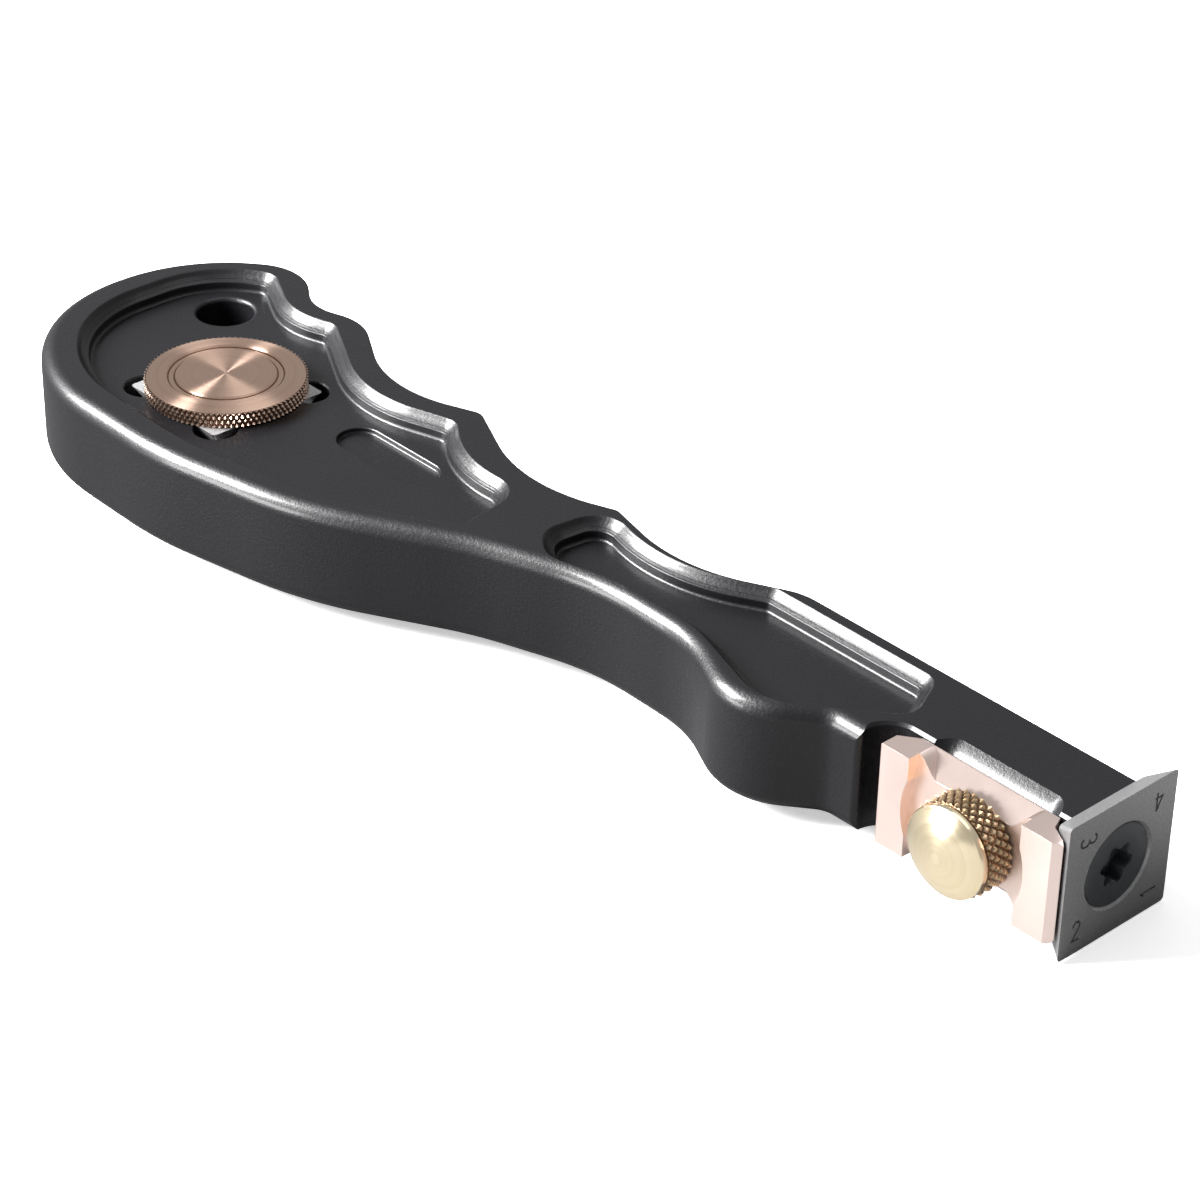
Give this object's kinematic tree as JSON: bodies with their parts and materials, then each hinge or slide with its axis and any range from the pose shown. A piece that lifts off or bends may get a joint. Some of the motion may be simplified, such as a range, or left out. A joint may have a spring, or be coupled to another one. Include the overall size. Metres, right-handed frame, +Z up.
{
  "type": "carbide scraper",
  "caption": "Hand-held carbide scraper: contoured dark handle with dished faces, square insert, sliding edge fence with a thumb screw, and spare inserts under a knurled knob.",
  "frame": {"origin": "middle of the face that the cutting insert seats on, halfway through the handle's thickness", "axes": "+X out of the insert's cutting face along the handle, +Y towards the scalloped back, +Z up through the dished side that carries the storage knob"},
  "size_m": [0.146, 0.0374, 0.015],
  "materials": {
    "handle_coat": "satin black anodised coat",
    "carbide": "ground carbide",
    "black_screw": "black oxide",
    "fence_metal": "blasted, rose gold anodised",
    "thumb_metal": "turned and polished",
    "knob_metal": "turned, rose gold anodised",
    "steel": "plain steel thread",
    "spare_carbide": "ground carbide"
  },
  "bodies": {
    "handle": {"handle": "handle_coat", "cutting_insert": "carbide", "insert_screw": "black_screw", "spare_insert_upper": "spare_carbide", "spare_insert_lower": "spare_carbide"},
    "fence": {"fence": "fence_metal"},
    "thumb_stud": {"thumb_screw_stud": "steel"},
    "thumb_head": {"thumb_screw_head": "thumb_metal"},
    "storage_stud": {"storage_knob_stud": "steel"},
    "storage_knob": {"storage_knob": "knob_metal"}
  },
  "joints": [
    {"name": "fence_slide", "type": "slide", "parent": "handle", "child": "fence", "axis": [1, 0, 0], "range_m": [-0.0015, 0.0004]},
    {"name": "thumb_screw_travel", "type": "slide", "parent": "handle", "child": "thumb_stud", "axis": [0, -1, 0], "range_m": [0, 0.007]},
    {"name": "thumb_screw_turn", "type": "hinge", "parent": "thumb_stud", "child": "thumb_head", "pos_m": [-0.0093, -0.009, 0], "axis": [0, -1, 0], "range_deg": [0, 3600]},
    {"name": "storage_knob_travel", "type": "slide", "parent": "handle", "child": "storage_stud", "axis": [0, 0, 1], "range_m": [0, 0.0036]},
    {"name": "storage_knob_turn", "type": "hinge", "parent": "storage_stud", "child": "storage_knob", "pos_m": [-0.11716, -0.01064, 0.0049], "axis": [0, 0, 1], "range_deg": [0, 1620]}
  ],
  "couplings": [
    {"joint": "thumb_screw_turn", "follows": "thumb_screw_travel", "rad_per_m": 8976},
    {"joint": "storage_knob_turn", "follows": "storage_knob_travel", "rad_per_m": 7854}
  ]
}
